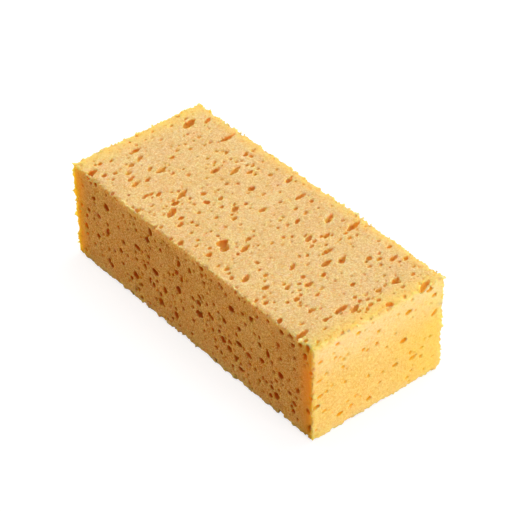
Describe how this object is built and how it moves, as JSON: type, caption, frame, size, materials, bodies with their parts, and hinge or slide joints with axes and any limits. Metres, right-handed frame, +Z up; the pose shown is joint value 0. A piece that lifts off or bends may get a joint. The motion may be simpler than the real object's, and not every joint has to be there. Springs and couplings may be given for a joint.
{
  "type": "cleaning sponge",
  "caption": "Oblong block of soft open foam, cut square on all sides, with pores of many sizes over every face, for wiping and washing by hand.",
  "frame": {"origin": "centre of the underside, on the surface that the block rests on", "axes": "+X along the block's length, towards the end that the picture shows; +Y across its width, away from the long side that the picture shows; +Z up through its height"},
  "size_m": [0.18, 0.079, 0.055],
  "materials": {
    "foam": "matt, grainy, slightly see-through at thin edges"
  },
  "bodies": {
    "root": {"sponge_block": "foam"}
  },
  "joints": []
}
